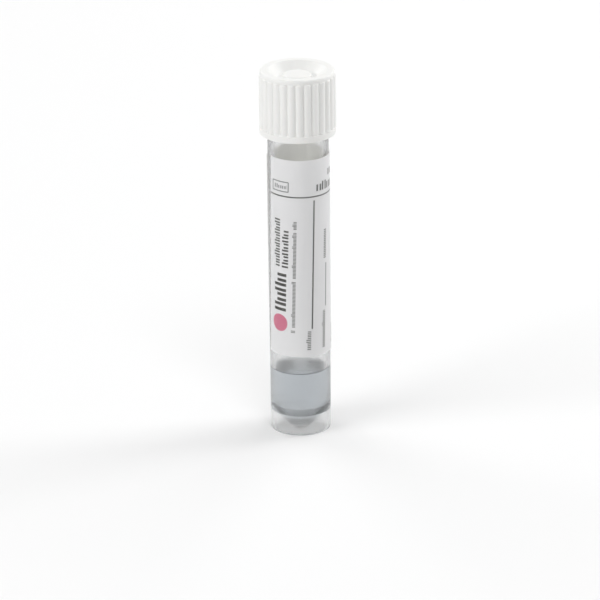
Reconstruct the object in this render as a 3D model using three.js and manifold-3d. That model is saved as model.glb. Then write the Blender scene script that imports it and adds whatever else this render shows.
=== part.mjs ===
// A self-standing screw-cap specimen tube, as used for a swab and its transport medium.
//
// The tube is one clear moulding: a straight barrel, a conical bottom that ends in a rounded
// tip, and a short open skirt round that cone on which the tube stands. It holds a little
// liquid medium. A paper label is rolled on the barrel, slightly askew, and leaves a strip
// of the barrel bare. The cap is one white moulding: a ribbed skirt, a dished top with a
// round boss, a plug ring that seals the tube's bore, and under the boss a socket that grips
// the end of a swab's shaft.
//
// Millimetres. +Z is up, the origin is the centre of the ring that the tube stands on, and
// the front, which the middle of the label's print faces, is -Y.

import * as THREE from "three";
import { mergeVertices } from "three/addons/utils/BufferGeometryUtils.js";
import Module from "manifold-3d";

// ---------------------------------------------------------------- driving dimensions

const roundSegments = 64;        // flats round everything that is turned
const arcSteps = 4;              // flats in each rounded edge
const cutMargin = 1;             // how far a cutting shape runs past what it cuts

// Tube
const tubeRadius = 6.3;          // outside of the barrel
const tubeHeight = 75.4;         // foot to rim
const tubeWall = 0.95;           // barrel, cone and skirt alike
const skirtDraft = 0.1;          // how much the skirt narrows down to its foot
const skirtDraftHeight = 6;      // height at which that narrowing starts
const footRound = 0.12;          // rounded outer edge of the foot
const rimRound = 0.25;           // rounded edges of the mouth
const tipRadius = 3.35;          // ball that ends the cone, on its outside
const tipLift = 0.12;            // the tip's height above the foot
const coneHalfAngle = THREE.MathUtils.degToRad(43);
const neckStep = 0.3;            // the threaded neck is this much slimmer than the barrel
const neckInset = 0.8;           // the neck starts this far up inside the cap

// Medium
const fillHeight = 13.2;         // level of the liquid above the foot
const meniscusRise = 0.5;        // climb of its surface at the wall
const meniscusWidth = 0.9;
const mediumClearance = 0.05;

// Label
const labelHeight = 43.1;
const labelBare = 3.6;           // width of the strip of barrel that it leaves uncovered
const labelLift = 17.45;         // its lower edge above the foot, half way along it
const labelThickness = 0.12;
const labelClearance = 0.04;
const labelSkew = THREE.MathUtils.degToRad(1.4);
const labelFacing = THREE.MathUtils.degToRad(99);   // its middle, counted from the front

// Cap, outside
const capHeight = 13.45;
const capWall = 0.55;            // between the cap's bore and the floors of its grooves
const ribCount = 28;
const ribDepth = 0.4;
const ribPhase = THREE.MathUtils.degToRad(3);       // the first rib, counted from the front
const ribEndRound = 0.5;
const collarHeight = 0.95;       // plain band above the ribs
const collarInset = 0.15;        // how much smaller than the ribs its radius is
const hemHeight = 1.35;          // plain band below the ribs, flush with them
const capEdgeRound = 0.4;
const hemEdgeRound = 0.15;
const rimFlat = 1.2;             // flat ring round the dish in the top
const ringWidth = 1.05;          // floor of the dish, from the boss to its slope
const dishDepth = 1.7;
const bossRadius = 3.05;
const bossDrop = 0.85;           // top of the boss below the rim of the cap
const bossRound = 0.55;
const dishFillet = 0.4;

// Cap, inside
const roofThickness = 1.05;      // under the floor of the dish
const rimClearance = 0.3;        // tube's rim to the roof
const threadHeight = 0.7;        // stands out from the neck
const threadClearance = 0.25;    // crest of the thread to the cap's bore
const plugClearance = 0.15;
const plugWall = 0.75;
const plugDepth = 2.0;
const plugLead = 0.3;            // taper on the end of the plug ring
const socketRadius = 2.6;
const socketBore = 1.3;
const socketMouth = 2.1;         // the bore opens out to this radius at its mouth
const socketLead = 1.8;          // height of that opening-out
const socketDepth = 5.2;         // below the roof
const bossRoof = 0.95;           // closes the socket's upper end

// ---------------------------------------------------------------- derived sizes

const boreRadius = tubeRadius - tubeWall;
const neckRadius = tubeRadius - neckStep;
const roofHeight = tubeHeight + rimClearance;
const capTop = roofHeight + roofThickness + dishDepth;
const capBottom = capTop - capHeight;
const ribTop = capTop - collarHeight;
const ribBottom = capBottom + hemHeight;
const capBore = neckRadius + threadHeight + threadClearance;
const valleyRadius = capBore + capWall;
const capRadius = valleyRadius + ribDepth;
const tipCentre = tipLift + tipRadius;

// ---------------------------------------------------------------- outlines of turned pieces

/** Points on an arc in the (radius, height) half plane, from one angle to another. */
function arc(centreR, centreZ, radius, fromDegrees, toDegrees, steps = arcSteps) {
  const points = [];
  for (let i = 0; i <= steps; i += 1) {
    const angle = THREE.MathUtils.degToRad(fromDegrees + ((toDegrees - fromDegrees) * i) / steps);
    points.push([centreR + radius * Math.cos(angle), centreZ + radius * Math.sin(angle)]);
  }
  return points;
}

/**
 * The conical bottom from its tip on the axis out to a given radius.
 * inward is how far this surface lies inside the cone's outer surface.
 */
function coneOutline(inward, outToRadius) {
  const ball = tipRadius - inward;
  const degrees = THREE.MathUtils.radToDeg(coneHalfAngle);
  const apex = tipCentre - ball / Math.sin(coneHalfAngle);
  return [
    [0, tipCentre - ball],
    ...arc(0, tipCentre, ball, -90, -degrees, arcSteps).slice(1),
    [outToRadius, apex + outToRadius / Math.tan(coneHalfAngle)],
  ];
}

function tubeOutline() {
  const footRadius = tubeRadius - skirtDraft;
  const neckStart = capBottom + neckInset;
  const underside = coneOutline(0, boreRadius);
  const inside = coneOutline(tubeWall, boreRadius).reverse();
  return [
    ...underside,
    [footRadius - tubeWall, 0],
    ...arc(footRadius - footRound, footRound, footRound, -90, 0),
    [tubeRadius, skirtDraftHeight],
    [tubeRadius, neckStart],
    [neckRadius, neckStart + neckStep],
    ...arc(neckRadius - rimRound, tubeHeight - rimRound, rimRound, 0, 90),
    ...arc(boreRadius + rimRound, tubeHeight - rimRound, rimRound, 90, 180),
    ...inside,
  ];
}

function mediumOutline() {
  const radius = boreRadius - mediumClearance;
  const surface = [];
  for (let i = 0; i <= arcSteps; i += 1) {
    const out = 1 - i / arcSteps;
    surface.push([radius - meniscusWidth * (1 - out), fillHeight + meniscusRise * out ** 3]);
  }
  return [...coneOutline(tubeWall + mediumClearance, radius), ...surface, [0, fillHeight]];
}

/** The outside of the cap without its ribs, and the dish and boss of its top. */
function capBodyOutline() {
  const collarRadius = capRadius - collarInset;
  const coreRadius = capBore + capWall / 2;
  const dishRadius = collarRadius - capEdgeRound - rimFlat - dishFillet;
  const dishFloor = capTop - dishDepth;
  const floorRadius = bossRadius + ringWidth;
  const bossTop = capTop - bossDrop;
  return [
    [0, capBottom],
    [capRadius - hemEdgeRound, capBottom],
    [capRadius, capBottom + hemEdgeRound],
    [capRadius, ribBottom],
    [coreRadius, ribBottom + ribEndRound],
    [coreRadius, ribTop - ribEndRound],
    [collarRadius, ribTop],
    ...arc(collarRadius - capEdgeRound, capTop - capEdgeRound, capEdgeRound, 0, 90),
    [dishRadius + dishFillet, capTop],
    [dishRadius, capTop - dishFillet / 2],
    [floorRadius, dishFloor + dishFillet],
    [floorRadius - dishFillet, dishFloor],
    [bossRadius + dishFillet, dishFloor],
    [bossRadius, dishFloor + dishFillet / 2],
    ...arc(bossRadius - bossRound, bossTop - bossRound, bossRound, 0, 90),
    [0, bossTop],
  ];
}

/** The air inside the cap, which leaves the plug ring and the socket standing. */
function capHollowOutline() {
  const plugRadius = boreRadius - plugClearance;
  const plugBottom = roofHeight - plugDepth;
  const socketBottom = roofHeight - socketDepth;
  return [
    [0, capBottom - cutMargin],
    [capBore, capBottom - cutMargin],
    [capBore, roofHeight],
    [plugRadius, roofHeight],
    [plugRadius, plugBottom + plugLead],
    [plugRadius - plugLead, plugBottom],
    [plugRadius - plugWall, plugBottom],
    [plugRadius - plugWall, roofHeight],
    [socketRadius, roofHeight],
    [socketRadius, socketBottom],
    [socketMouth, socketBottom],
    [socketBore, socketBottom + socketLead],
    [socketBore, capTop - bossDrop - bossRoof],
    [0, capTop - bossDrop - bossRoof],
  ];
}

/** Cuts the ribs to length and rounds their upper ends down to the collar. */
function ribEnvelopeOutline() {
  return [
    [0, ribBottom],
    [capRadius, ribBottom],
    ...arc(capRadius - ribEndRound, ribTop - ribEndRound, ribEndRound, 0, 90),
    [0, ribTop],
  ];
}

// ---------------------------------------------------------------- shapes

/** A closed geometry with shared corners, which holds positions only. */
function welded(geometry) {
  const bare = geometry.index ? geometry.toNonIndexed() : geometry.clone();
  for (const name of Object.keys(bare.attributes)) {
    if (name !== "position") bare.deleteAttribute(name);
  }
  return mergeVertices(bare, 1e-5);
}

/** Turns a closed outline of (radius, height) points about +Z. */
function turned(outline) {
  const profile = outline.map(([radius, height]) => new THREE.Vector2(radius, height));
  const geometry = new THREE.LatheGeometry(profile, roundSegments);
  geometry.rotateX(Math.PI / 2);
  return welded(geometry);
}

/** The cap's ribbed section as a plain prism: convex ribs that meet in narrow grooves. */
function ribbedPrism() {
  const halfPitch = Math.PI / ribCount;
  const valleyX = valleyRadius * Math.cos(halfPitch);
  const valleyY = valleyRadius * Math.sin(halfPitch);
  const centre = (capRadius ** 2 - valleyRadius ** 2) / (2 * (capRadius - valleyX));
  const ribRadius = capRadius - centre;
  const halfArc = Math.atan2(valleyY, valleyX - centre);
  const section = [];
  for (let rib = 0; rib < ribCount; rib += 1) {
    const facing = ribPhase - Math.PI / 2 + rib * 2 * halfPitch;
    for (let step = 0; step < arcSteps; step += 1) {
      const angle = halfArc * ((2 * step) / arcSteps - 1);
      const along = centre + ribRadius * Math.cos(angle);
      const across = ribRadius * Math.sin(angle);
      section.push(new THREE.Vector2(
        along * Math.cos(facing) - across * Math.sin(facing),
        along * Math.sin(facing) + across * Math.cos(facing),
      ));
    }
  }
  const depth = ribTop - ribBottom + 2 * cutMargin;
  const prism = new THREE.ExtrudeGeometry(new THREE.Shape(section), { depth, bevelEnabled: false });
  prism.translate(0, 0, ribBottom - cutMargin);
  return welded(prism);
}

/** A flat label, turned by its skew and then rolled on the barrel. */
function rolledLabel() {
  const innerRadius = tubeRadius + labelClearance;
  const width = 2 * Math.PI * tubeRadius - labelBare;
  const columns = roundSegments;
  const rows = 4;
  const sheet = new THREE.BoxGeometry(width, labelThickness, labelHeight, columns, 1, rows);
  sheet.rotateY(labelSkew);
  sheet.translate(0, 0, labelLift + labelHeight / 2);
  const corners = sheet.attributes.position;
  for (let i = 0; i < corners.count; i += 1) {
    const angle = labelFacing - Math.PI / 2 + corners.getX(i) / tubeRadius;
    const radius = innerRadius + labelThickness / 2 - corners.getY(i);
    corners.setXYZ(i, radius * Math.cos(angle), radius * Math.sin(angle), corners.getZ(i));
  }
  return welded(sheet);
}

// ---------------------------------------------------------------- joining and cutting

const wasm = await Module();
wasm.setup();

function toSolid(geometry) {
  return new wasm.Manifold(new wasm.Mesh({
    numProp: 3,
    vertProperties: new Float32Array(geometry.attributes.position.array),
    triVerts: new Uint32Array(geometry.index.array),
  }));
}

function toGeometry(solid) {
  const mesh = solid.getMesh();
  const geometry = new THREE.BufferGeometry();
  geometry.setAttribute("position", new THREE.BufferAttribute(mesh.vertProperties, 3));
  geometry.setIndex(new THREE.BufferAttribute(mesh.triVerts, 1));
  return geometry;
}

function ribbedCap() {
  const ribs = toSolid(ribbedPrism()).intersect(toSolid(turned(ribEnvelopeOutline())));
  const body = toSolid(turned(capBodyOutline())).add(ribs);
  return toGeometry(body.subtract(toSolid(turned(capHollowOutline()))));
}

// ---------------------------------------------------------------- the assembly

function piece(name, geometry, look) {
  geometry.computeVertexNormals();
  const mesh = new THREE.Mesh(geometry, new THREE.MeshStandardMaterial(look));
  mesh.name = name;
  return mesh;
}

const clearPlastic = { color: 0xe6e8e6, roughness: 0.18, metalness: 0, transparent: true, opacity: 0.4 };
const liquid = { color: 0xc6ced2, roughness: 0.05, metalness: 0, transparent: true, opacity: 0.6 };
const paper = { color: 0xf1f1f2, roughness: 0.6, metalness: 0 };
const whitePlastic = { color: 0xf6f6f4, roughness: 0.35, metalness: 0 };

const specimenTube = new THREE.Group();
specimenTube.name = "specimen_tube";
specimenTube.add(
  piece("tube", turned(tubeOutline()), clearPlastic),
  piece("medium", turned(mediumOutline()), liquid),
  piece("label", rolledLabel(), paper),
  piece("cap", ribbedCap(), whitePlastic),
);

export default specimenTube;
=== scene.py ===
"""Dresses a packed screw-cap specimen tube: clear barrel, liquid medium, label and ribbed cap.

Blender's unit is the metre. The sizes below are in millimetres, as on a maker's drawing, and
mm() turns them into metres where they are used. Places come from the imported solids. The tube
stands on z = 0 with its axis on the Z axis, and its front faces -Y.
"""

import logging
import math
from dataclasses import dataclass, field
from enum import Enum
from typing import Callable, Sequence

import bmesh
import bpy
from mathutils import Matrix, Vector


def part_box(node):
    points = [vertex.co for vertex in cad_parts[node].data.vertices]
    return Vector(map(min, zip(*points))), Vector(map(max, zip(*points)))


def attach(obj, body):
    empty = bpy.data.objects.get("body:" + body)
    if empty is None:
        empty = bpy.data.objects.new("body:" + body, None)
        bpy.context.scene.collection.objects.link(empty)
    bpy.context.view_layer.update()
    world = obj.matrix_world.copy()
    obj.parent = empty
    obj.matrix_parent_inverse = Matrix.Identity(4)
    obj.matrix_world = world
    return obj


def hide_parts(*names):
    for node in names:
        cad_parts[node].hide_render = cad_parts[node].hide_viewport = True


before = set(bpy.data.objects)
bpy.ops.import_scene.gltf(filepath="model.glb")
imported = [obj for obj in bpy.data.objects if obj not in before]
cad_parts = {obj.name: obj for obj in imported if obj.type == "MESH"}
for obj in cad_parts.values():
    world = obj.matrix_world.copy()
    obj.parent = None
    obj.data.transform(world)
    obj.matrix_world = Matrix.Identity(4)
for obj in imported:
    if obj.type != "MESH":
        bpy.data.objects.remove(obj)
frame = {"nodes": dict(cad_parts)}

LOG = logging.getLogger("specimen_tube")
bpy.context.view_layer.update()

Point = tuple[float, float]
Corner = tuple[float, float, float]
Colour = tuple[float, float, float, float]
Piece = bpy.types.Object
Material = bpy.types.Material
Tree = bpy.types.NodeTree
Node = bpy.types.Node
Socket = bpy.types.NodeSocket
Settings = dict[str | int, object]

FULL_TURN = 360.0
FINE_TURN = 192  # sections round everything that is turned and clear
FILLET_STEPS = 6  # chords in each fillet
MERGE_GAP = 0.002
SAME_TURN = 1e-4  # radians


# ------------------------------ numbers and colours


def mm(length: float) -> float:
    """Millimetres in metres."""
    return length * 0.001


def linear(hex_colour: str) -> Colour:
    """Turns an sRGB hex colour into linear light.

    Args:
        hex_colour: six hex digits.

    Returns:
        Linear red, green and blue, with an alpha of 1.
    """
    channels = [int(hex_colour[i : i + 2], 16) / 255 for i in (0, 2, 4)]
    lin = [c / 12.92 if c <= 0.04045 else ((c + 0.055) / 1.055) ** 2.4 for c in channels]
    return (lin[0], lin[1], lin[2], 1.0)


@dataclass(frozen=True)
class NodeSize:
    """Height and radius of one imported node, in millimetres."""

    bottom: float
    top: float
    radius: float

    @classmethod
    def of(cls, node: str) -> "NodeSize":
        """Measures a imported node.

        Args:
            node: the node's name.

        Returns:
            Its sizes. The radius is taken along the axis on which it reaches least.
        """
        low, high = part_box(node)
        reach = min(-low.x, -low.y, high.x, high.y)
        return cls(low.z * 1000, high.z * 1000, reach * 1000)


# ------------------------------ outlines


def arc(centre: Point, radius: float, start: float, end: float, steps: int) -> list[Point]:
    """Points on an arc in the half plane of distance from the axis and height.

    Args:
        centre: the arc's centre.
        radius: the arc's radius.
        start: direction of the first point in degrees, counted from straight outwards.
        end: direction of the last point in degrees.
        steps: number of chords.

    Returns:
        The points from start to end, both included.
    """
    turns = [math.radians(start + (end - start) * i / steps) for i in range(steps + 1)]
    return [
        (centre[0] + radius * math.cos(turn), centre[1] + radius * math.sin(turn))
        for turn in turns
    ]


def rounded(corners: Sequence[Corner]) -> list[Point]:
    """Turns a path of corners into an outline whose corners are rounded.

    Args:
        corners: distance from the axis, height and fillet radius of each corner. A radius of
            zero leaves the corner sharp.

    Returns:
        The outline's points in the same order.
    """
    outline: list[Point] = []
    for index, (radius, height, fillet) in enumerate(corners):
        here = Vector((radius, height))
        if fillet == 0 or index in (0, len(corners) - 1):
            outline.append((radius, height))
            continue
        back = (Vector(corners[index - 1][:2]) - here).normalized()
        ahead = (Vector(corners[index + 1][:2]) - here).normalized()
        half = back.angle(ahead) / 2
        centre = here + (back + ahead).normalized() * (fillet / math.sin(half))
        first = (here + back * (fillet / math.tan(half)) - centre).normalized()
        last = (here + ahead * (fillet / math.tan(half)) - centre).normalized()
        for step in range(FILLET_STEPS + 1):
            spoke = first.slerp(last, step / FILLET_STEPS) * fillet
            outline.append((centre.x + spoke.x, centre.y + spoke.y))
    return outline


# ------------------------------ modelling tools


def start_clean() -> None:
    """Leaves edit mode and deselects everything, so that operators act on the new piece."""
    if bpy.context.mode != "OBJECT":
        bpy.ops.object.mode_set(mode="OBJECT")
    bpy.ops.object.select_all(action="DESELECT")


def take_up(piece: Piece) -> None:
    """Makes one piece the only selected and active object."""
    start_clean()
    piece.select_set(True)
    bpy.context.view_layer.objects.active = piece


def name_piece(piece: Piece, name: str) -> None:
    """Gives an object and its mesh the same name."""
    piece.name = name
    piece.data.name = name


def draw_outline(name: str, outline: Sequence[Point]) -> Piece:
    """Draws an outline by extruding one point along it.

    Args:
        name: the new object's name.
        outline: distance from the axis and height of each point.

    Returns:
        The object, in edit mode, whose mesh is the outline in the XZ plane.
    """
    start_clean()
    bpy.ops.mesh.primitive_plane_add(size=mm(1), location=(0, 0, 0))
    piece = bpy.context.active_object
    name_piece(piece, name)
    bpy.ops.object.mode_set(mode="EDIT")
    bpy.ops.mesh.merge(type="CENTER")
    here = Vector((0, 0, 0))
    for index, (radius, height) in enumerate(outline):
        there = Vector((mm(radius), 0, mm(height)))
        if index == 0:
            bpy.ops.transform.translate(value=there)
        else:
            bpy.ops.mesh.extrude_region_move(TRANSFORM_OT_translate={"value": there - here})
        here = there
    return piece


def select_points(piece: Piece, test: Callable[[int, Vector], bool]) -> int:
    """Selects the points of the mesh in edit mode that pass a test.

    Args:
        piece: the object in edit mode.
        test: takes a point's number and place, in metres.

    Returns:
        How many points are selected.
    """
    mesh = bmesh.from_edit_mesh(piece.data)
    chosen = 0
    for vertex in mesh.verts:
        vertex.select = bool(test(vertex.index, vertex.co))
        chosen += vertex.select
    mesh.select_flush_mode()
    bmesh.update_edit_mesh(piece.data)
    return chosen


def close_shell(piece: Piece) -> None:
    """Merges doubled points, turns the faces outwards and leaves edit mode."""
    bpy.ops.mesh.select_all(action="SELECT")
    bpy.ops.mesh.remove_doubles(threshold=mm(MERGE_GAP))
    bpy.ops.mesh.normals_make_consistent(inside=False)
    bpy.ops.object.mode_set(mode="OBJECT")


def spin(steps: int, turn: float = FULL_TURN) -> None:
    """Spins all that is being edited about the tube's axis.

    Args:
        steps: number of sections.
        turn: angle in degrees.
    """
    bpy.ops.mesh.select_all(action="SELECT")
    bpy.ops.mesh.spin(steps=steps, angle=math.radians(turn), center=(0, 0, 0), axis=(0, 0, 1))


def rotate(degrees: float, axis: str = "Z") -> None:
    """Turns what is selected about an axis through the origin.

    Args:
        degrees: the angle. It is negated, because with no window the operator turns the
            other way.
        axis: X, Y or Z.
    """
    bpy.ops.transform.rotate(
        value=-math.radians(degrees), orient_axis=axis, center_override=(0, 0, 0)
    )


def scale(across: float, deep: float) -> None:
    """Scales what is selected from the origin along X and along Y."""
    bpy.ops.transform.resize(value=(across, deep, 1), center_override=(0, 0, 0))


def turned(name: str, outline: Sequence[Point]) -> Piece:
    """Models a turned piece.

    Args:
        name: the new object's name.
        outline: half section that starts and ends on the axis.

    Returns:
        The closed piece, in object mode.
    """
    piece = draw_outline(name, outline)
    spin(FINE_TURN)
    close_shell(piece)
    return piece


def apply_modifier(piece: Piece, kind: str, **settings: object) -> None:
    """Adds a modifier to a piece and applies it.

    Args:
        piece: the object.
        kind: Blender's name for the modifier's type.
        settings: the modifier's own properties.
    """
    take_up(piece)
    modifier = piece.modifiers.new(kind.lower(), kind)
    for key, value in settings.items():
        setattr(modifier, key, value)
    bpy.ops.object.modifier_apply(modifier=modifier.name)


def smooth(piece: Piece, angle: float = 32.0) -> None:
    """Shades a piece smooth, apart from edges sharper than an angle in degrees."""
    take_up(piece)
    bpy.ops.object.shade_smooth_by_angle(angle=math.radians(angle))


# ------------------------------ material tools


def add_node(
    tree: Tree,
    kind: str,
    settings: Settings | None = None,
    links: dict[str | int, Socket] | None = None,
) -> Node:
    """Adds one node to a material or world.

    Args:
        tree: the node tree.
        kind: Blender's node type, without its leading "ShaderNode".
        settings: properties by name, and input values by socket name or number.
        links: the output socket that each named or numbered input takes.

    Returns:
        The new node.
    """
    node = tree.nodes.new("ShaderNode" + kind)
    for key, value in (settings or {}).items():
        if isinstance(key, str) and hasattr(node, key):
            setattr(node, key, value)
        else:
            node.inputs[key].default_value = value
    for key, socket in (links or {}).items():
        tree.links.new(socket, node.inputs[key])
    return node


def bare_tree(owner: Material | bpy.types.World) -> Tree:
    """Empties the node tree of a new material or world.

    Args:
        owner: the material or world.

    Returns:
        Its node tree, without a node.
    """
    owner.use_nodes = True
    owner.node_tree.nodes.clear()
    return owner.node_tree


def start_material(name: str, settings: Settings) -> tuple[Material, Node, Node]:
    """Starts a material with one main shader.

    Args:
        name: the material's name.
        settings: values of the main shader's sockets that are the same all over.

    Returns:
        The material, its main shader and its output node.
    """
    material = bpy.data.materials.new(name)
    tree = bare_tree(material)
    shader = add_node(tree, "BsdfPrincipled", settings)
    output = add_node(tree, "OutputMaterial", links={"Surface": shader.outputs["BSDF"]})
    return material, shader, output


def let_light_through(
    material: Material, shader: Node, output: Node, colour: Colour, share: float
) -> None:
    """Lets a share of the light through a thin sheet.

    Args:
        material: the sheet's material.
        shader: its main shader.
        output: its output node.
        colour: colour of the light that comes through.
        share: how much comes through, from 0 to 1.
    """
    tree = material.node_tree
    glow = add_node(tree, "BsdfTranslucent", {"Color": colour})
    parts = {1: shader.outputs["BSDF"], 2: glow.outputs["BSDF"]}
    both = add_node(tree, "MixShader", {0: share}, parts)
    tree.links.new(both.outputs[0], output.inputs["Surface"])


def give_grain(
    shader: Node, pattern: Socket, gloss: tuple[float, float], strength: float, depth: float
) -> None:
    """Lets a fine pattern vary a surface's gloss and its height.

    Args:
        shader: the material's main shader.
        pattern: the pattern, from 0 to 1.
        gloss: the roughness where the pattern is 0 and where it is 1.
        strength: how much of the relief shows.
        depth: how deep the relief is.
    """
    tree = shader.id_data
    ends = {"To Min": gloss[0], "To Max": gloss[1]}
    sheen = add_node(tree, "MapRange", ends, {"Value": pattern})
    tree.links.new(sheen.outputs["Result"], shader.inputs["Roughness"])
    relief = {"Strength": strength, "Distance": mm(depth)}
    bump = add_node(tree, "Bump", relief, {"Height": pattern})
    tree.links.new(bump.outputs["Normal"], shader.inputs["Normal"])


def dress(piece: Piece, *materials: Material) -> None:
    """Puts materials on a piece.

    Args:
        piece: the object.
        materials: its materials, in the order of its material slots.
    """
    piece.data.materials.clear()
    for material in materials:
        piece.data.materials.append(material)


def dress_faces(piece: Piece, slot: int, test: Callable[[Vector, Vector], bool]) -> None:
    """Gives the faces that pass a test the material of another slot.

    Args:
        piece: the object, in object mode.
        slot: number of the material slot.
        test: takes a face's middle and its normal, in metres.
    """
    take_up(piece)
    bpy.ops.object.mode_set(mode="EDIT")
    bpy.ops.mesh.select_mode(type="FACE")
    mesh = bmesh.from_edit_mesh(piece.data)
    for face in mesh.faces:
        face.select_set(test(face.calc_center_median(), face.normal))
    bmesh.update_edit_mesh(piece.data)
    piece.active_material_index = slot
    bpy.ops.object.material_slot_assign()
    bpy.ops.mesh.select_mode(type="VERT")
    bpy.ops.object.mode_set(mode="OBJECT")


# ------------------------------ finishes


@dataclass(frozen=True)
class ClearPolypropylene:
    """Clarified polypropylene, injection moulded against polished steel.

    It is glossy and see-through, but a little milky, and its cut edges look grey where the
    eye looks along the wall.
    """

    name: str = "clear_polypropylene"
    colour: str = "FEFEFE"
    ior: float = 1.49
    roughness: float = 0.2
    clarity: float = 0.96
    tint: str = "9DADB4"
    absorption: float = 40.0
    flow_waves: float = 2.2
    wave_height: float = 0.012
    wave_strength: float = 0.35
    along_flow: float = 0.25  # squeezes the pattern's height, so that the waves run upwards

    def material(self) -> Material:
        """Makes the material.

        Returns:
            The material, with its nodes.
        """
        material, shader, output = start_material(
            self.name,
            {
                "Base Color": linear(self.colour),
                "Roughness": self.roughness,
                "IOR": self.ior,
                "Transmission Weight": self.clarity,
            },
        )
        tree = material.node_tree
        place = add_node(tree, "TexCoord")
        squeeze = {"Scale": (1, 1, self.along_flow)}
        stretched = add_node(tree, "Mapping", squeeze, {"Vector": place.outputs["Object"]})
        size = {"Scale": 1 / mm(self.flow_waves), "Detail": 2.0}
        waves = add_node(tree, "TexNoise", size, {"Vector": stretched.outputs["Vector"]})
        relief = {"Strength": self.wave_strength, "Distance": mm(self.wave_height)}
        bump = add_node(tree, "Bump", relief, {"Height": waves.outputs["Fac"]})
        tree.links.new(bump.outputs["Normal"], shader.inputs["Normal"])
        body = {"Color": linear(self.tint), "Density": self.absorption}
        depth = add_node(tree, "VolumeAbsorption", body)
        tree.links.new(depth.outputs["Volume"], output.inputs["Volume"])
        return material


@dataclass(frozen=True)
class TransportMedium:
    """A thin water-based gel: glossy, faintly cloudy, and blue-grey where it is deep."""

    colour: str = "FDFEFE"
    ior: float = 1.335
    roughness: float = 0.02
    clarity: float = 0.98
    tint: str = "8FA3B4"
    absorption: float = 66.0
    cloud_colour: str = "F4F8FA"
    cloudiness: float = 8.0
    cloud_forward: float = 0.3  # how far the cloud sends light onwards rather than back

    def material(self) -> Material:
        """Makes the material.

        Returns:
            The material, with its nodes.
        """
        material, _, output = start_material(
            "transport_medium_gel",
            {
                "Base Color": linear(self.colour),
                "Roughness": self.roughness,
                "IOR": self.ior,
                "Transmission Weight": self.clarity,
            },
        )
        tree = material.node_tree
        body = {"Color": linear(self.tint), "Density": self.absorption}
        depth = add_node(tree, "VolumeAbsorption", body)
        haze = {
            "Color": linear(self.cloud_colour),
            "Density": self.cloudiness,
            "Anisotropy": self.cloud_forward,
        }
        cloud = add_node(tree, "VolumeScatter", haze)
        both = add_node(tree, "AddShader", links={0: depth.outputs[0], 1: cloud.outputs[0]})
        tree.links.new(both.outputs[0], output.inputs["Volume"])
        return material


@dataclass(frozen=True)
class MouldedPolyethylene:
    """White high-density polyethylene, moulded with a satin texture.

    It looks soft and slightly waxy, because a little light goes into it before it comes back.
    """

    colour: str = "E6E6E4"
    ior: float = 1.53
    roughness: tuple[float, float] = (0.35, 0.47)
    glow: float = 0.12
    glow_depth: float = 0.6
    grain: float = 0.22
    grain_depth: float = 0.01
    grain_strength: float = 0.25

    def material(self) -> Material:
        """Makes the material.

        Returns:
            The material, with its nodes.
        """
        material, shader, _ = start_material(
            "moulded_white_polyethylene",
            {
                "Base Color": linear(self.colour),
                "IOR": self.ior,
                "Subsurface Weight": self.glow,
                "Subsurface Radius": (1.0, 0.9, 0.8),
                "Subsurface Scale": mm(self.glow_depth),
            },
        )
        tree = material.node_tree
        place = add_node(tree, "TexCoord")
        size = {"Scale": 1 / mm(self.grain), "Detail": 3.0, "Roughness": 0.6}
        grain = add_node(tree, "TexNoise", size, {"Vector": place.outputs["Object"]})
        pattern = grain.outputs["Fac"]
        give_grain(shader, pattern, self.roughness, self.grain_strength, self.grain_depth)
        return material


# ------------------------------ the printed label


class Ink(Enum):
    """The inks of the label's print."""

    BLACK = "1C1C1E"
    DARK = "3A3A3C"
    GREY = "6E6E72"
    PINK = "DB6E90"


class Run(Enum):
    """Which way a line of greeked print runs on the label."""

    UPWARDS = "upwards"
    ACROSS = "across"


@dataclass(frozen=True)
class Bar:
    """A plain printed bar or rule. All sizes are in mm from the label's lower left corner."""

    left: float
    right: float
    low: float
    high: float
    ink: Ink
    corner: float = 0.0
    frame: float = 0.0  # line width, where only the bar's outline is printed


@dataclass(frozen=True)
class Greek:
    """A line of greeked print: pairs of strokes in place of letters, which spell nothing."""

    left: float
    right: float
    low: float
    high: float
    letter: float  # width of a letter's place
    seed: float
    ink: Ink = Ink.BLACK
    gaps: float = 0.0  # share of the letters' places that are left empty
    run: Run = Run.UPWARDS
    stroke: float = 0.28  # width of each of a letter's two strokes, as a share of its place
    side: float = 0.06  # bare share at each side of a letter's place
    short: float = 0.74  # height of a letter as tall as an x, as a share of the line's
    tall: float = 0.98  # height of a letter that reaches up
    short_share: float = 0.66  # share of the letters that are as tall as an x


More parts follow.
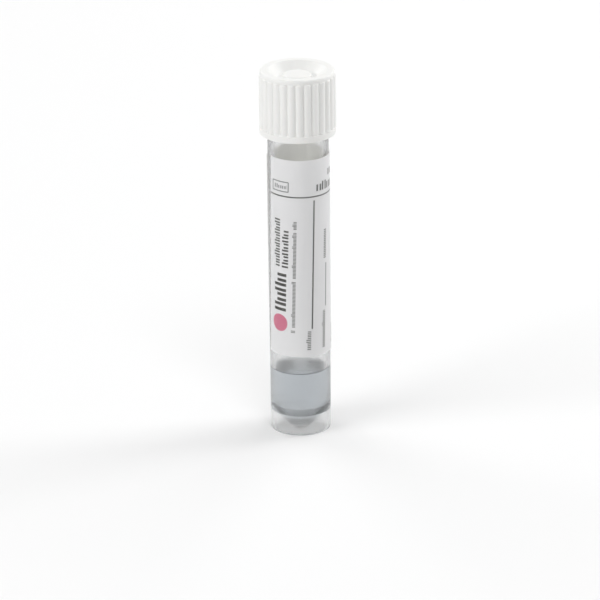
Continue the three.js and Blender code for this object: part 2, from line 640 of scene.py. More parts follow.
@dataclass(frozen=True)
class LabelLayout:
    """The label's print, as a generic form: rules, a box, greeked lines and a pink dot."""

    bars: tuple[Bar, ...] = (
        Bar(0, 34, 35.03, 35.27, Ink.DARK),
        Bar(9.9, 10.15, 6.2, 34.3, Ink.DARK),
        Bar(13.4, 13.6, 10.6, 20.0, Ink.GREY),
        Bar(17.4, 17.6, 6.2, 34.3, Ink.DARK),
        Bar(21.0, 21.2, 6.2, 34.3, Ink.DARK),
        Bar(0.75, 4.7, 36.1, 38.35, Ink.GREY, 0.2, 0.16),
        Bar(1.2, 4.8, 5.3, 9.0, Ink.PINK, 1.75),
    )
    lines: tuple[Greek, ...] = (
        Greek(1.3, 4.3, 36.75, 37.7, 0.95, 3, Ink.GREY, 0.0, Run.ACROSS),
        Greek(10.4, 21.5, 36.2, 38.2, 1.5, 5, Ink.BLACK, 0.08, Run.ACROSS),
        Greek(14.0, 21.5, 38.9, 40.8, 1.5, 8, Ink.BLACK, 0.08, Run.ACROSS),
        Greek(1.4, 2.9, 19.5, 30.2, 1.18, 11),
        Greek(3.35, 4.85, 19.4, 27.8, 1.4, 13),
        Greek(1.5, 4.5, 9.7, 18.3, 2.15, 17, stroke=0.3),
        Greek(5.55, 6.5, 5.3, 30.3, 0.6, 19, Ink.DARK, 0.12),
        Greek(8.75, 9.85, 1.5, 5.7, 0.8, 23, Ink.DARK),
        Greek(12.4, 13.5, 21.1, 27.5, 0.8, 29, Ink.DARK, 0.1),
        Greek(12.3, 13.4, 1.5, 9.7, 0.8, 31, Ink.DARK, 0.1),
        Greek(16.2, 17.2, 1.5, 5.7, 0.8, 37, Ink.DARK),
        Greek(19.8, 20.8, 1.5, 5.7, 0.8, 41, Ink.DARK),
        Greek(24.5, 25.2, 3.0, 32.0, 0.55, 43, Ink.GREY, 0.14),
        Greek(26.0, 26.7, 3.0, 31.0, 0.55, 47, Ink.GREY, 0.14),
        Greek(27.5, 28.2, 3.0, 32.0, 0.55, 53, Ink.GREY, 0.14),
        Greek(29.0, 29.7, 3.0, 22.0, 0.55, 59, Ink.GREY, 0.14),
    )


@dataclass(frozen=True)
class LabelPaper:
    """Semi-gloss coated label paper, flexo printed.

    It is a clean, slightly cool white with a fine fibre that barely shows and a soft sheen.
    """

    width: float
    height: float
    ior: float = 1.5
    colours: tuple[str, str] = ("F2F2F4", "FAFAFC")
    roughness: tuple[float, float] = (0.4, 0.54)
    fibre: float = 0.12
    fibre_depth: float = 0.008
    fibre_strength: float = 0.2
    glow: float = 0.31
    glow_colour: str = "FDFDFA"
    edge_blur: float = 0.06
    end_blur: float = 0.01
    layout: LabelLayout = field(default_factory=LabelLayout)

    def box_mask(self, tree: Tree, place: Socket, bar: Bar) -> Socket:
        """Masks a bar with rounded corners, or its outline.

        Args:
            tree: the material's node tree.
            place: position on the label in mm.
            bar: the bar.

        Returns:
            A socket that is 1 on the ink and 0 off it.
        """
        middle = ((bar.left + bar.right) / 2, (bar.low + bar.high) / 2, 0)
        reach = ((bar.right - bar.left) / 2 - bar.corner, (bar.high - bar.low) / 2 - bar.corner, 0)
        zero = (0, 0, 0)
        stages = [place]
        for operation, value in (
            ("SUBTRACT", middle),
            ("ABSOLUTE", zero),
            ("SUBTRACT", reach),
            ("MAXIMUM", zero),
            ("MULTIPLY", (1, 1, 0)),
        ):
            settings = {"operation": operation, 1: value}
            stages.append(add_node(tree, "VectorMath", settings, {0: stages[-1]}).outputs[0])
        past_reach = stages[3]
        gap = add_node(tree, "VectorMath", {"operation": "LENGTH"}, {0: stages[-1]})
        distance = gap.outputs["Value"]
        if bar.frame:
            # Inside the bar, the distance to its nearest side counts below zero.
            sides = add_node(tree, "SeparateXYZ", links={0: past_reach})
            nearest = {0: sides.outputs[0], 1: sides.outputs[1]}
            inner = add_node(tree, "Math", {"operation": "MAXIMUM"}, nearest)
            signed = add_node(tree, "Math", {"operation": "MINIMUM", 1: 0.0}, {0: inner.outputs[0]})
            whole = {0: signed.outputs[0], 1: distance}
            distance = add_node(tree, "Math", {"operation": "ADD"}, whole).outputs[0]
            for operation, value in (("SUBTRACT", bar.corner - bar.frame / 2), ("ABSOLUTE", 0.0)):
                settings = {"operation": operation, 1: value}
                distance = add_node(tree, "Math", settings, {0: distance}).outputs[0]
        limit = bar.frame / 2 if bar.frame else bar.corner
        edge = {"From Min": limit, "From Max": limit + self.edge_blur, "To Min": 1.0, "To Max": 0.0}
        return add_node(tree, "MapRange", edge, {"Value": distance}).outputs["Result"]

    def greek_mask(self, tree: Tree, parts: Node, line: Greek) -> Socket:
        """Masks a line of greeked print.

        Args:
            tree: the material's node tree.
            parts: a node whose outputs are the position across and up the label in mm.
            line: the line.

        Returns:
            A socket that is 1 on the ink and 0 off it.
        """
        upwards = line.run is Run.UPWARDS
        along = parts.outputs[1] if upwards else parts.outputs[0]
        across = parts.outputs[0] if upwards else parts.outputs[1]
        start, end = (line.low, line.high) if upwards else (line.left, line.right)
        # Print that runs upwards has its feet on the right.
        foot, head = (line.right, line.left) if upwards else (line.low, line.high)
        count = {"From Min": start, "From Max": end, "To Max": (end - start) / line.letter}
        way = add_node(tree, "MapRange", count, {"Value": along})
        cell = add_node(tree, "Math", {"operation": "FLOOR"}, {0: way.outputs[0]})
        seeded = add_node(tree, "Math", {"operation": "ADD", 1: line.seed}, {0: cell.outputs[0]})
        noise = {"noise_dimensions": "1D"}
        chance = add_node(tree, "TexWhiteNoise", noise, {"W": seeded.outputs[0]}).outputs["Value"]
        inside = add_node(tree, "Math", {"operation": "FRACT"}, {0: way.outputs[0]})
        fold = {"operation": "PINGPONG", 1: 0.5}
        letter = add_node(tree, "Math", fold, {0: inside.outputs[0]}).outputs[0]
        rise = add_node(tree, "MapRange", {"From Min": foot, "From Max": head}, {"Value": across})
        # Most letters are as tall as an x, and some reach up.
        some = {"operation": "GREATER_THAN", 1: line.short_share}
        tall = add_node(tree, "Math", some, {0: chance})
        tops = {"To Min": line.short, "To Max": line.tall}
        top = add_node(tree, "MapRange", tops, {"Value": tall.outputs[0]})
        room = {0: top.outputs[0], 1: rise.outputs[0]}
        below = add_node(tree, "Math", {"operation": "SUBTRACT"}, room)
        kept = {"operation": "GREATER_THAN", 1: line.gaps}
        mask = add_node(tree, "Math", kept, {0: chance}).outputs[0]
        blur = self.edge_blur / line.letter
        soft = self.edge_blur / abs(head - foot)
        for value, bare, inked in (
            (letter, line.side, line.side + blur),
            (letter, line.side + line.stroke + blur, line.side + line.stroke),
            (below.outputs[0], 0.0, soft),
            (rise.outputs[0], 0.0, soft),
            (along, start, start + self.end_blur),
            (along, end, end - self.end_blur),
        ):
            span = {"From Min": bare, "From Max": inked}
            ramp = add_node(tree, "MapRange", span, {"Value": value})
            both = {0: mask, 1: ramp.outputs[0]}
            mask = add_node(tree, "Math", {"operation": "MULTIPLY"}, both).outputs[0]
        return mask

    def material(self) -> Material:
        """Makes the printed face's material, which follows the label's own UV map.

        Returns:
            The material, with its nodes.
        """
        material, shader, output = start_material("semi_gloss_label_paper", {"IOR": self.ior})
        let_light_through(material, shader, output, linear(self.glow_colour), self.glow)
        tree = material.node_tree
        uv = add_node(tree, "TexCoord")
        sheet = {"operation": "MULTIPLY", 1: (self.width, self.height, 0)}
        place = add_node(tree, "VectorMath", sheet, {0: uv.outputs["UV"]}).outputs[0]
        parts = add_node(tree, "SeparateXYZ", links={0: place})
        size = {"Scale": 1 / self.fibre, "Detail": 4.0, "Roughness": 0.65}
        fibre = add_node(tree, "TexNoise", size, {"Vector": place}).outputs["Fac"]
        whites = {6: linear(self.colours[0]), 7: linear(self.colours[1])}
        colour = add_node(tree, "Mix", {"data_type": "RGBA", **whites}, {0: fibre}).outputs[2]
        masks = [(self.box_mask(tree, place, bar), bar.ink) for bar in self.layout.bars]
        masks += [(self.greek_mask(tree, parts, line), line.ink) for line in self.layout.lines]
        for mask, ink in masks:
            printed = {"data_type": "RGBA", 7: linear(ink.value)}
            colour = add_node(tree, "Mix", printed, {0: mask, 6: colour}).outputs[2]
        tree.links.new(colour, shader.inputs["Base Color"])
        give_grain(shader, fibre, self.roughness, self.fibre_strength, self.fibre_depth)
        return material


@dataclass(frozen=True)
class LabelAdhesive:
    """The back of the label: acrylic adhesive on paper, a shade yellower and greyer."""

    ior: float = 1.47
    roughness: float = 0.55
    colours: tuple[str, str] = ("DAD9D2", "E2E1DB")
    grain: float = 0.5
    glow: float = 0.94
    glow_colour: str = "FDFCF7"

    def material(self) -> Material:
        """Makes the material.

        Returns:
            The material, with its nodes.
        """
        material, shader, output = start_material(
            "label_back_adhesive", {"Roughness": self.roughness, "IOR": self.ior}
        )
        let_light_through(material, shader, output, linear(self.glow_colour), self.glow)
        tree = material.node_tree
        place = add_node(tree, "TexCoord")
        size = {"Scale": 1 / mm(self.grain), "Detail": 3.0}
        cloud = add_node(tree, "TexNoise", size, {"Vector": place.outputs["Object"]})
        greys = {6: linear(self.colours[0]), 7: linear(self.colours[1])}
        tone = add_node(tree, "Mix", {"data_type": "RGBA", **greys}, {0: cloud.outputs["Fac"]})
        tree.links.new(tone.outputs[2], shader.inputs["Base Color"])
        return material


# ------------------------------ sub-assemblies


@dataclass
class Thread:
    """A moulded screw thread: one ridge that winds up and sinks away at both ends."""

    name: str
    root: float
    crest: float
    start: float
    pitch: float = 3.0
    turns: float = 2.1
    base_width: float = 1.3
    crest_width: float = 0.55
    run_out: float = 40.0
    sunk: float = 0.96  # share of its height that it loses at its very ends
    steps_per_turn: int = 64
    corners: int = 4  # in its section

    def build(self) -> Piece:
        """Winds the ridge.

        Returns:
            The closed ridge, in object mode.
        """
        base, tip = self.base_width / 2, self.crest_width / 2
        section = [
            (self.root, self.start - base),
            (self.crest, self.start - tip),
            (self.crest, self.start + tip),
            (self.root, self.start + base),
        ]
        ridge = draw_outline(self.name, section)
        bpy.ops.mesh.select_all(action="SELECT")
        bpy.ops.mesh.edge_face_add()
        steps = round(self.turns * self.steps_per_turn)
        climb = mm(self.pitch / self.steps_per_turn)
        for _ in range(steps):
            bpy.ops.mesh.extrude_region_move(TRANSFORM_OT_translate={"value": (0, 0, climb)})
            rotate(FULL_TURN / self.steps_per_turn)
        self.sink_ends(ridge, steps)
        close_shell(ridge)
        return ridge

    def sink_ends(self, ridge: Piece, steps: int) -> None:
        """Lowers the crest to the root over the first and last degrees of the winding.

        Args:
            ridge: the wound ridge, in edit mode.
            steps: number of sections after the first.
        """
        fading = round(self.run_out / FULL_TURN * self.steps_per_turn)
        middle = (self.root + self.crest) / 2
        outward = self.crest > self.root
        for step in range(steps + 1):
            share = min(step, steps - step) / fading
            if share >= 1:
                continue
            lost = self.sunk * (self.crest - self.root) * (1 - math.sin(share * math.pi / 2))
            numbers = range(step * self.corners, (step + 1) * self.corners)

            def at_crest(number: int, place: Vector) -> bool:
                """Tells whether a point is on this section's crest."""
                far = math.hypot(place.x, place.y) > mm(middle)
                return number in numbers and far == outward

            select_points(ridge, at_crest)
            turn = step * math.tau / self.steps_per_turn
            inward = Vector((math.cos(turn), math.sin(turn), 0)) * -mm(lost)
            bpy.ops.transform.translate(value=inward)


@dataclass
class ClearTube:
    """The tube: a straight barrel, a conical bottom in a standing skirt, and a threaded neck."""

    wall: float = 0.95
    skirt_draft: float = 0.1
    skirt_draft_height: float = 6.0
    foot_round: float = 0.12
    foot_inner_round: float = 0.1
    rim_round: float = 0.25
    tip_radius: float = 3.35
    tip_lift: float = 0.12
    tip_steps: int = 12
    cone_half_angle: float = 43.0
    neck_step: float = 0.3
    neck_step_round: float = 0.08
    neck_inset: float = 0.8
    inner_fillet: float = 0.6
    hollow_fillet: float = 0.12  # small, because that corner is an acute one
    thread_height: float = 0.62
    thread_root: float = 0.12  # how deep the thread's ridge is set in the wall
    thread_start: float = 67.6

    def __post_init__(self) -> None:
        """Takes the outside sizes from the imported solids."""
        size = NodeSize.of("tube")
        self.radius = size.radius
        self.height = size.top
        self.bore = self.radius - self.wall
        self.neck = self.radius - self.neck_step
        self.neck_start = NodeSize.of("cap").bottom + self.neck_inset

    def cone(self, inward: float, reach: float, fillet: float) -> list[Corner]:
        """Outline of the conical bottom from its tip out to the wall.

        Args:
            inward: how far this surface lies inside the cone's outer surface.
            reach: distance from the axis at which it meets the wall.
            fillet: fillet at that corner.

        Returns:
            Its corners, from the axis outwards.
        """
        ball = self.tip_radius - inward
        lean = math.radians(self.cone_half_angle)
        centre = (0.0, self.tip_lift + self.tip_radius)
        apex = centre[1] - ball / math.sin(lean)
        tip = arc(centre, ball, -90, -self.cone_half_angle, self.tip_steps)
        end = (reach, apex + reach / math.tan(lean), fillet)
        return [(radius, height, 0.0) for radius, height in tip] + [end]

    def outline(self) -> list[Point]:
        """Draws half of the tube's section.

        Returns:
            Its points, from the cone's underside round to its inside.
        """
        foot = self.radius - self.skirt_draft
        outside: list[Corner] = [
            (foot - self.wall, 0, self.foot_inner_round),
            (foot, 0, self.foot_round),
            (self.radius, self.skirt_draft_height, 0),
            (self.radius, self.neck_start, self.neck_step_round),
            (self.neck, self.neck_start + self.neck_step, self.neck_step_round),
            (self.neck, self.height, self.rim_round),
            (self.bore, self.height, self.rim_round),
        ]
        underside = self.cone(0, self.bore, self.hollow_fillet)
        inside = self.cone(self.wall, self.bore, self.inner_fillet)
        return rounded(underside + outside + inside[::-1])

    def under_tip(self, middle: Vector, normal: Vector) -> bool:
        """Tells whether a face is under the cone's tip, which is made matt and white as painted
        brightness.

        Args:
            middle: the face's middle in metres.
            normal: its normal.

        Returns:
            True for such a face.
        """
        ball = self.tip_radius * math.cos(math.radians(self.cone_half_angle))
        inside = math.hypot(middle.x, middle.y) < mm(ball)
        return inside and normal.z < 0 and middle.z < mm(self.radius)

    def build(self) -> Piece:
        """Models the tube with its thread and dresses it.

        Returns:
            The finished piece.
        """
        shell = turned("tube_shell", self.outline())
        root, crest = self.neck - self.thread_root, self.neck + self.thread_height
        thread = Thread("neck_thread", root, crest, self.thread_start).build()
        apply_modifier(shell, "BOOLEAN", operation="UNION", solver="EXACT", object=thread)
        bpy.data.objects.remove(thread)
        smooth(shell)
        clear = ClearPolypropylene()
        # The tip under the cone is made matt and white: painted brightness in place of the light
        # that the clear cone refracts.
        painted_bright_tip = ClearPolypropylene("matt_tip_painted_brightness", clarity=0.3)
        dress(shell, clear.material(), painted_bright_tip.material())
        dress_faces(shell, 1, self.under_tip)
        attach(shell, "tube")
        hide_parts("tube")
        return shell


@dataclass
class Medium:
    """The liquid in the tube, which wets the wall and climbs it a little."""

    tube: ClearTube
    overlap: float = 0.03  # it runs this far into the wall, so that no film of air shows
    meniscus_rise: float = 0.5
    meniscus_width: float = 1.2
    meniscus_steps: int = 14
    meniscus_power: int = 3  # the higher it is, the closer to the wall the climb begins
    smooth_angle: float = 60.0

    def build(self) -> Piece:
        """Models and dresses the liquid.

        Returns:
            The finished piece.
        """
        level = NodeSize.of("medium").top - self.meniscus_rise
        reach = self.tube.bore + self.overlap
        tube = self.tube
        bottom = tube.cone(tube.wall - self.overlap, reach, tube.inner_fillet)
        surface: list[Corner] = []
        for step in range(self.meniscus_steps + 1):
            out = 1 - step / self.meniscus_steps
            climb = self.meniscus_rise * out**self.meniscus_power
            surface.append((reach - self.meniscus_width * (1 - out), level + climb, 0.0))
        liquid = turned("medium_liquid", rounded(bottom + surface + [(0, level, 0)]))
        smooth(liquid, self.smooth_angle)
        dress(liquid, TransportMedium().material())
        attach(liquid, "tube")
        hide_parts("medium")
        return liquid


@dataclass
class Label:
    """The paper label, rolled on the barrel slightly askew."""

    barrel_radius: float
    bare: float = 3.6  # width of the strip of barrel that it leaves uncovered
    height: float = 43.1
    thickness: float = 0.12
    clearance: float = 0.04
    skew: float = 1.4
    lift: float = 17.45
    facing: float = 99.0  # its middle, counted from the front
    columns: int = 160
    rows: int = 24

    def flat_sheet(self, width: float) -> Piece:
        """Models the label as a flat sheet that stands upright and faces the front.

        Args:
            width: the sheet's width.

        Returns:
            The sheet, in edit mode, with a UV map that covers it once.
        """
        start_clean()
        bpy.ops.mesh.primitive_grid_add(
            x_subdivisions=self.columns,
            y_subdivisions=self.rows,
            size=mm(1),
            calc_uvs=True,
            location=(0, 0, 0),
        )
        sheet = bpy.context.active_object
        name_piece(sheet, "label_paper")
        bpy.ops.object.mode_set(mode="EDIT")
        scale(width, self.height)
        rotate(-self.skew)
        rotate(90, "X")
        return sheet

    def build(self) -> Piece:
        """Models the label flat, rolls it and gives it its thickness.

        Returns:
            The finished piece.
        """
        width = math.tau * self.barrel_radius - self.bare
        sheet = self.flat_sheet(width)
        bpy.ops.object.mode_set(mode="OBJECT")
        reach = max(vertex.co.x for vertex in sheet.data.vertices) * 2
        turn = reach / mm(self.barrel_radius)
        bend = {"deform_method": "BEND", "deform_axis": "Z", "angle": turn}
        apply_modifier(sheet, "SIMPLE_DEFORM", **bend)
        outside = self.barrel_radius + self.clearance + self.thickness
        growth = outside / self.barrel_radius
        bpy.ops.object.mode_set(mode="EDIT")
        bpy.ops.mesh.select_all(action="SELECT")
        middle = mm(self.lift + self.height / 2)
        bpy.ops.transform.translate(value=(0, -mm(self.barrel_radius), middle))
        scale(growth, growth)
        rotate(self.facing)
        bpy.ops.object.mode_set(mode="OBJECT")
        dress(sheet, LabelPaper(width, self.height).material(), LabelAdhesive().material())
        apply_modifier(
            sheet,
            "SOLIDIFY",
            thickness=mm(self.thickness),
            offset=-1.0,
            use_even_offset=True,
            material_offset=1,
            material_offset_rim=0,
        )
        smooth(sheet)
        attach(sheet, "tube")
        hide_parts("label")
        return sheet


@dataclass
class RibbedCap:
    """The screw cap: ribbed skirt, dished top with a boss, plug ring and swab socket."""

    tube: ClearTube
    wall: float = 0.55
    rib_count: int = 28
    rib_depth: float = 0.4
    rib_phase: float = 3.0  # degrees from the front round to the first rib's middle
    rib_end_round: float = 0.3
    collar_height: float = 0.95
    collar_inset: float = 0.22
    hem_height: float = 1.35
    edge_round: float = 0.4
    hem_round: float = 0.15
    rim_flat: float = 1.2
    ring_width: float = 1.05
    dish_depth: float = 1.7
    dish_fillet: float = 0.5
    boss_radius: float = 3.05
    boss_draft: float = 0.1
    boss_fillet: float = 0.35
    boss_drop: float = 0.85
    boss_round: float = 0.5
    boss_crown: float = 0.12  # how far its top falls to its edge
    crown_reach: float = 0.45  # share of the boss's radius at which the fall steepens
    crown_share: float = 0.2  # share of the fall that lies inside that
    roof: float = 1.05
    plug_clearance: float = 0.15
    plug_wall: float = 0.75
    plug_depth: float = 2.0
    plug_lead: float = 0.3
    socket_radius: float = 2.6
    socket_bore: float = 1.3
    socket_mouth: float = 2.1
    socket_lead: float = 1.8
    socket_depth: float = 5.2
    boss_roof: float = 0.95
    thread_depth: float = 0.62
    thread_root: float = 0.12  # how deep the thread's ridge is set in the skirt
    thread_offset: float = 1.5  # half a pitch above the neck's thread
    thread_turns: float = 1.7
    corner_round: float = 0.2  # inside corners
    lip_round: float = 0.1  # ends of the plug ring and the socket
    lead_round: float = 0.15
    bore_round: float = 0.3
    rib_columns: int = 14
    end_rows: int = 6

    def __post_init__(self) -> None:
        """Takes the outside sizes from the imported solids."""
        size = NodeSize.of("cap")
        self.bottom, self.top, self.radius = size.bottom, size.top, size.radius
        self.valley = self.radius - self.rib_depth
        self.bore = self.valley - self.wall
        self.collar = self.radius - self.collar_inset
        self.rib_top = self.top - self.collar_height
        self.rib_bottom = self.bottom + self.hem_height
        self.roof_height = self.top - self.dish_depth - self.roof

    def top_outline(self) -> list[Point]:
        """Draws half of the section of the cap's top.

        Returns:
            Its points, from the middle of the boss out to the ribs.
        """
        dish = self.collar - self.edge_round - self.rim_flat
        floor = self.top - self.dish_depth
        boss_top = self.top - self.boss_drop
        crown = self.boss_radius * self.crown_reach
        return rounded(
            [
                (0, boss_top, 0),
                (crown, boss_top - self.boss_crown * self.crown_share, self.boss_round),
                (self.boss_radius - self.boss_draft, boss_top - self.boss_crown, self.boss_round),
                (self.boss_radius, floor, self.boss_fillet),
                (self.boss_radius + self.ring_width, floor, self.dish_fillet),
                (dish, self.top, self.dish_fillet),
                (self.collar, self.top, self.edge_round),
                (self.collar, self.rib_top, 0),
            ]
        )

    def rib_rows(self) -> list[tuple[float, float, float]]:
        """Rows of the ribbed band, from the collar down to the hem.

        Returns:
            Height, radius of the groove's floor and how far the rib stands out of it, from 0
            to 1, for each row.
        """
        rows: list[tuple[float, float, float]] = []
        for step in range(self.end_rows + 1):
            turn = step / self.end_rows * math.pi / 2
            drop, swell = self.rib_end_round * (1 - math.cos(turn)), math.sin(turn)
            rows.append((drop, swell, step / self.end_rows))
        upper = [
            (self.rib_top - drop, self.collar + (self.valley - self.collar) * share, swell)
            for drop, swell, share in rows
        ]
        lower = [
            (self.rib_bottom + drop, self.radius + (self.valley - self.radius) * share, swell)
            for drop, swell, share in rows
        ]
        return upper + lower[::-1]

    def inside_outline(self) -> list[Point]:
        """Draws half of the section of the cap's hem and inside.

        Returns:
            Its points, from the hem up to the end of the socket.
        """
        plug = self.tube.bore - self.plug_clearance
        plug_bottom = self.roof_height - self.plug_depth
        socket_bottom = self.roof_height - self.socket_depth
        socket_end = self.top - self.boss_drop - self.boss_roof
        inner_plug = plug - self.plug_wall
        corner, lip = self.corner_round, self.lip_round
        return rounded(
            [
                (self.radius, self.rib_bottom, 0),
                (self.radius, self.bottom, self.hem_round),
                (self.bore, self.bottom, self.hem_round),
                (self.bore, self.roof_height, corner),
                (plug, self.roof_height, corner),
                (plug, plug_bottom + self.plug_lead, self.lead_round),
                (plug - self.plug_lead, plug_bottom, lip),
                (inner_plug, plug_bottom, lip),
                (inner_plug, self.roof_height, corner),
                (self.socket_radius, self.roof_height, corner),
                (self.socket_radius, socket_bottom, lip),
                (self.socket_mouth, socket_bottom, lip),
                (self.socket_bore, socket_bottom + self.socket_lead, self.bore_round),
                (self.socket_bore, socket_end, corner),
                (0, socket_end, 0),
            ]
        )

    def rib_outline_radius(self, turn: float) -> float:
        """Radius of the ribs' lobed section.

        Args:
            turn: angle from the middle of a rib, in radians.

        Returns:
            Distance from the axis.
        """
        half = math.pi / self.rib_count
        valley_x = self.valley * math.cos(half)
        centre = (self.radius**2 - self.valley**2) / (2 * (self.radius - valley_x))
        lobe = self.radius - centre
        across = centre * math.sin(turn)
        return centre * math.cos(turn) + math.sqrt(max(lobe**2 - across**2, 0))

    def shape_rib(self, wedge: Piece) -> None:
        """Swells the wedge's ribbed rows out to the rib's section.

        Args:
            wedge: the wedge, in edit mode, with the rib's middle on the XZ plane.
        """
        half = math.pi / self.rib_count
        near = mm(2 * MERGE_GAP)
        for height, floor, swell in self.rib_rows():
            for column in range(1, self.rib_columns // 2 + 1):
                turn = half * (1 - 2 * column / self.rib_columns)
                target = floor + (self.rib_outline_radius(turn) - floor) * swell

                def in_row(_: int, place: Vector) -> bool:
                    """Tells whether a point is in this row and at this place across the rib."""
                    return (
                        abs(place.z - mm(height)) < near
                        and abs(math.hypot(place.x, place.y) - mm(floor)) < near
                        and abs(abs(math.atan2(place.y, place.x)) - turn) < SAME_TURN
                    )

                if swell > 0 and select_points(wedge, in_row):
                    scale(target / floor, target / floor)

    def repeat_round(self, wedge: Piece, pitch: float) -> None:
        """Copies the wedge round the axis and welds the copies.

        Args:
            wedge: the wedge, in object mode.
            pitch: angle from one rib to the next, in degrees.
        """
        bpy.ops.object.empty_add(location=(0, 0, 0), rotation=(0, 0, math.radians(pitch)))
        step = bpy.context.active_object
        apply_modifier(
            wedge,
            "ARRAY",
            count=self.rib_count,
            use_relative_offset=False,
            use_object_offset=True,
            offset_object=step,
        )
        bpy.data.objects.remove(step)
        bpy.ops.object.mode_set(mode="EDIT")
        bpy.ops.mesh.select_all(action="SELECT")
        rotate(self.rib_phase - 90)
        close_shell(wedge)

    def build(self) -> Piece:
        """Models one rib's wedge, copies it round the axis and dresses the cap.

        Returns:
            The finished piece.
        """
        band = [(floor, height) for height, floor, _ in self.rib_rows()]
        outline = self.top_outline()[:-1] + band + self.inside_outline()[1:]
        wedge = draw_outline("cap_shell", outline)
        pitch = FULL_TURN / self.rib_count
        bpy.ops.mesh.select_all(action="SELECT")
        rotate(pitch / 2)
        spin(self.rib_columns, pitch)
        self.shape_rib(wedge)
        bpy.ops.object.mode_set(mode="OBJECT")
        self.repeat_round(wedge, pitch)
        smooth(wedge)
        dress(wedge, MouldedPolyethylene().material())
        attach(wedge, "cap")
        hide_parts("cap")
        return wedge

    def build_thread(self) -> Piece:
        """Models and dresses the thread in the cap's skirt.

        Returns:
            The finished piece.
        """
        root, crest = self.bore + self.thread_root, self.bore - self.thread_depth
        start = self.tube.thread_start + self.thread_offset
        thread = Thread("cap_thread", root, crest, start, turns=self.thread_turns).build()
        smooth(thread)
        dress(thread, MouldedPolyethylene().material())
        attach(thread, "cap")
        return thread


# ------------------------------ the studio


def stand(
    data: bpy.types.ID, target: Vector, forward: Vector, distance: float, roll: float = 0.0
) -> Piece:
    """Stands a camera or a lamp in the scene so that it faces a target.

    Args:
        data: the camera or the lamp.
        target: the point that it faces, in metres.
        forward: the way that it faces, one unit long.
        distance: how far it stands from the target.
        roll: its turn about its own axis in degrees.

    Returns:
        The new object.
    """
    holder = bpy.data.objects.new(data.name, data)
    bpy.context.scene.collection.objects.link(holder)
    turn = forward.to_track_quat("-Z", "Y").to_matrix()
    turn = turn @ Matrix.Rotation(-math.radians(roll), 3, "Z")
    holder.matrix_world = Matrix.Translation(target - forward * mm(distance)) @ turn.to_4x4()
    return holder


@dataclass(frozen=True)
class Viewpoint:
    """Where the camera stands."""

    aim_height: float = 27.95
    aim_side: float = 0.06
    distance: float = 1004.1
    elevation: float = 21.22
    roll: float = 0.618
    lens: float = 290.1
    film: float = 36.0
    nearest: float = 10.0
    farthest: float = 20000.0

    def place(self) -> None:
        """Makes the scene's camera."""
        tilt = math.radians(self.elevation)
        forward = Vector((0, math.cos(tilt), -math.sin(tilt)))
        data = bpy.data.cameras.new("camera")
        data.lens = self.lens
        data.sensor_width = self.film
        data.clip_start, data.clip_end = mm(self.nearest), mm(self.farthest)
        aim = Vector((mm(self.aim_side), 0, mm(self.aim_height)))
        bpy.context.scene.camera = stand(data, aim, forward, self.distance, self.roll)


@dataclass(frozen=True)
class Softbox:
    """One large soft lamp that faces the tube."""

    name: str
    azimuth: float  # degrees from the front, positive to the right
    elevation: float
    distance: float
    width: float
    height: float
    power: float
    aim_height: float = 40.0

    def place(self) -> None:
        """Makes the lamp."""
        data = bpy.data.lights.new(self.name, "AREA")
        data.shape = "RECTANGLE"
        data.size = mm(self.width)
        data.size_y = mm(self.height)
        data.energy = self.power
        side, rise = math.radians(self.azimuth), math.radians(self.elevation)
        level = math.cos(rise)
        away = Vector((level * math.sin(side), -level * math.cos(side), math.sin(rise)))
        stand(data, Vector((0, 0, mm(self.aim_height))), -away, self.distance)


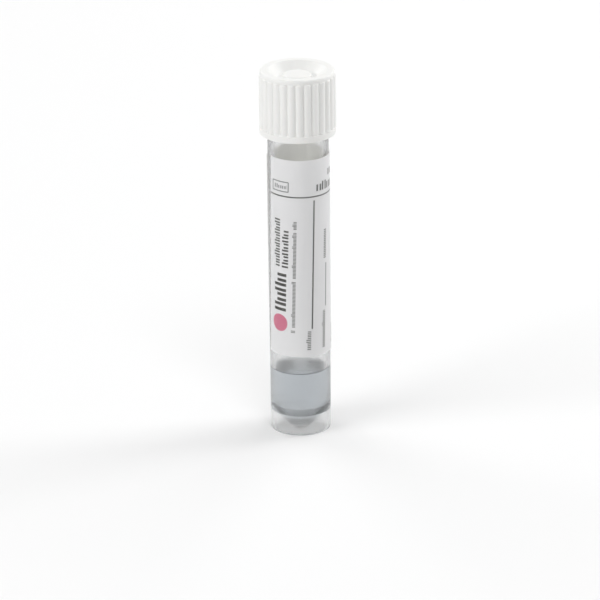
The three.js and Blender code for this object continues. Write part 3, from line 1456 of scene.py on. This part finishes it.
@dataclass(frozen=True)
class Studio:
    """A white floor, a pale surround and soft lamps."""

    floor_size: float = 4000.0
    floor_colour: str = "F0F0F0"
    surround: float = 0.43
    shadow: float = 0.9  # share of the floor's tone that takes the lamps' light and shadow
    lamps: tuple[Softbox, ...] = (
        Softbox("left_softbox", -62, 30, 900, 500, 700, 3.5),
        Softbox("right_softbox", 112, 25, 900, 350, 700, 3.5),
        Softbox("front_softbox", 15, 55, 900, 300, 300, 1.5),
        Softbox("back_right_softbox", 145, 35, 900, 500, 500, 1.6),
        Softbox("back_left_softbox", -140, 35, 900, 500, 500, 1.6),
    )

    @staticmethod
    def showing_background(tree: Tree) -> Socket:
        """Finds the rays that show the background: those of the eye, of gloss and of glass.

        Args:
            tree: the node tree of the floor or the world.

        Returns:
            A socket that is 1 for those rays and 0 for the light that falls on the tube.
        """
        ray = add_node(tree, "LightPath")
        seen = ray.outputs["Is Camera Ray"]
        for kind in ("Is Glossy Ray", "Is Transmission Ray"):
            either = {0: seen, 1: ray.outputs[kind]}
            seen = add_node(tree, "Math", {"operation": "MAXIMUM"}, either).outputs[0]
        return seen

    def build(self) -> None:
        """Makes the floor, the surround and the lamps."""
        world = bpy.data.worlds.new("pale_surround")
        tree = bare_tree(world)
        seen = {"Value": self.showing_background(tree)}
        strength = add_node(tree, "MapRange", {"To Min": self.surround, "To Max": 1.0}, seen)
        strong = {"Strength": strength.outputs[0]}
        light = add_node(tree, "Background", {"Color": linear("FFFFFF")}, strong)
        add_node(tree, "OutputWorld", links={"Surface": light.outputs[0]})
        bpy.context.scene.world = world
        for lamp in self.lamps:
            lamp.place()
        self.floor()

    def floor(self) -> None:
        """Makes the floor, which shows white and keeps the tube's shadow."""
        start_clean()
        bpy.ops.mesh.primitive_plane_add(size=mm(self.floor_size), location=(0, 0, 0))
        floor = bpy.context.active_object
        name_piece(floor, "floor")
        material = bpy.data.materials.new("white_paper_sweep")
        tree = bare_tree(material)
        lit = {"operation": "MULTIPLY", 1: 1 - self.shadow}
        share = add_node(tree, "Math", lit, {0: self.showing_background(tree)})
        paper = add_node(tree, "BsdfDiffuse", {"Color": linear(self.floor_colour)})
        white = add_node(tree, "Emission", {"Color": linear("FFFFFF"), "Strength": 1.0})
        mixed = {0: share.outputs[0], 1: paper.outputs[0], 2: white.outputs[0]}
        both = add_node(tree, "MixShader", links=mixed)
        add_node(tree, "OutputMaterial", links={"Surface": both.outputs[0]})
        dress(floor, material)


# ------------------------------ assembly


def main() -> None:
    """Builds and dresses every piece in turn."""
    logging.basicConfig(level=logging.INFO, format="%(name)s: %(message)s")
    bpy.context.scene.view_settings.view_transform = "Standard"
    Viewpoint().place()
    Studio().build()
    tube = ClearTube()
    cap = RibbedCap(tube)
    steps = (tube.build, Medium(tube).build, Label(tube.radius).build, cap.build, cap.build_thread)
    for build in steps:
        piece = build()
        LOG.info("%s has %d faces", piece.name, len(piece.data.polygons))


if __name__ == "__main__":
    main()
